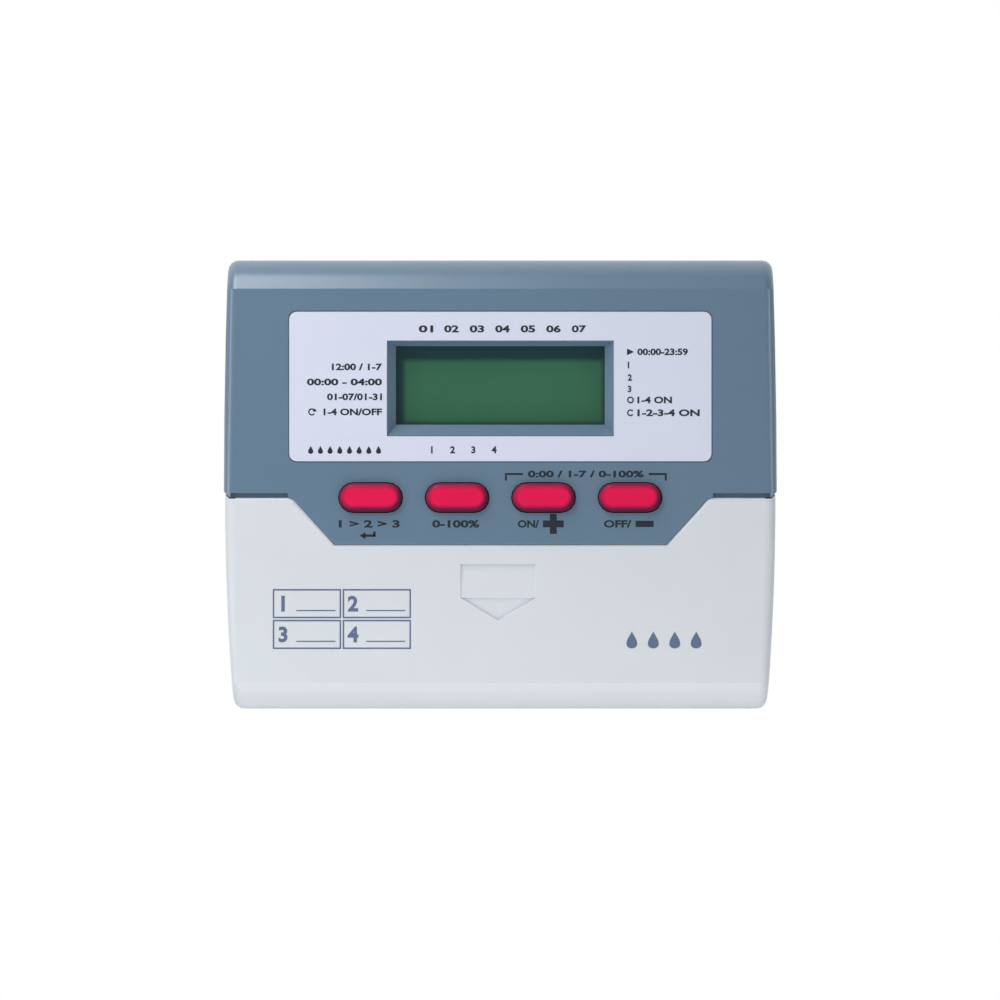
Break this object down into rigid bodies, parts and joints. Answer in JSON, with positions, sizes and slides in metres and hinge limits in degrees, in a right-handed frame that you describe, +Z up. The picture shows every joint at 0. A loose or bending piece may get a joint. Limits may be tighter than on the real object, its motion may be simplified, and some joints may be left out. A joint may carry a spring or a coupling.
{
  "type": "irrigation controller",
  "caption": "Wall-mounted irrigation controller: blue-grey case with a display and oval push keys above a pale terminal cover that slides down.",
  "frame": {"origin": "middle of the flat rear face, halfway up the case", "axes": "+Z up, +X to the right seen from the front, +Y into the wall, so the front faces -Y"},
  "size_m": [0.16, 0.044, 0.13],
  "materials": {
    "housing": "fine satin texture",
    "cover": "fine satin texture",
    "key": "satin",
    "label": "satin printed film",
    "window": "clear polished plastic",
    "display": "glossy display cell",
    "inner_white": "plain moulded",
    "elastomer": "layered rubber",
    "board": "solder mask on laminate",
    "component_black": "matte moulded",
    "terminal": "plain moulded",
    "plated_steel": "bright zinc plate",
    "can": "drawn can",
    "sleeve": "printed sleeve",
    "fuse": "glass tube with plated caps",
    "battery": "printed metal jacket",
    "rubber": "matte",
    "lead_red": "satin insulation",
    "lead_black": "satin insulation"
  },
  "bodies": {
    "case": {"rear_case": "housing", "front_housing": "housing", "terminal_deck": "housing", "front_label": "label", "display_window": "window", "lcd_glass": "display", "lcd_holder": "inner_white", "upper_contact_strip": "elastomer", "lower_contact_strip": "elastomer", "main_board": "board", "terminal_block": "terminal", "battery": "battery", "battery_snap": "component_black", "battery_lead_plus": "lead_red", "battery_lead_minus": "lead_black", "controller_chip": "component_black", "timing_crystal": "can", "smoothing_capacitor": "sleeve", "bridge_rectifier": "component_black", "fuse": "fuse", "fuse_clip_left": "plated_steel", "fuse_clip_right": "plated_steel", "cable_grommet": "rubber", "enter_switch": "component_black", "percent_switch": "component_black", "plus_switch": "component_black", "minus_switch": "component_black", "clamp_screw_1": "plated_steel", "clamp_screw_2": "plated_steel", "clamp_screw_3": "plated_steel", "clamp_screw_4": "plated_steel", "clamp_screw_5": "plated_steel", "clamp_screw_6": "plated_steel", "clamp_screw_7": "plated_steel", "clamp_screw_8": "plated_steel", "valve_triac_1": "component_black", "case_screw_1": "plated_steel", "board_screw_1": "plated_steel", "valve_triac_2": "component_black", "case_screw_2": "plated_steel", "board_screw_2": "plated_steel", "valve_triac_3": "component_black", "case_screw_3": "plated_steel", "board_screw_3": "plated_steel", "valve_triac_4": "component_black", "case_screw_4": "plated_steel", "board_screw_4": "plated_steel"},
    "cover": {"terminal_cover": "cover"},
    "enter_button": {"enter_key": "key", "enter_plunger": "inner_white"},
    "percent_button": {"percent_key": "key", "percent_plunger": "inner_white"},
    "plus_button": {"plus_key": "key", "plus_plunger": "inner_white"},
    "minus_button": {"minus_key": "key", "minus_plunger": "inner_white"}
  },
  "joints": [
    {"name": "cover_slide", "type": "slide", "parent": "case", "child": "cover", "axis": [0, 0, -1], "range_m": [0, 0.063]},
    {"name": "enter_press", "type": "slide", "parent": "case", "child": "enter_button", "axis": [0, 1, 0], "range_m": [0, 0.001], "stiffness_N_per_m": 800, "springref_m": -0.0005},
    {"name": "percent_press", "type": "slide", "parent": "case", "child": "percent_button", "axis": [0, 1, 0], "range_m": [0, 0.001], "stiffness_N_per_m": 800, "springref_m": -0.0005},
    {"name": "plus_press", "type": "slide", "parent": "case", "child": "plus_button", "axis": [0, 1, 0], "range_m": [0, 0.001], "stiffness_N_per_m": 800, "springref_m": -0.0005},
    {"name": "minus_press", "type": "slide", "parent": "case", "child": "minus_button", "axis": [0, 1, 0], "range_m": [0, 0.001], "stiffness_N_per_m": 800, "springref_m": -0.0005}
  ]
}
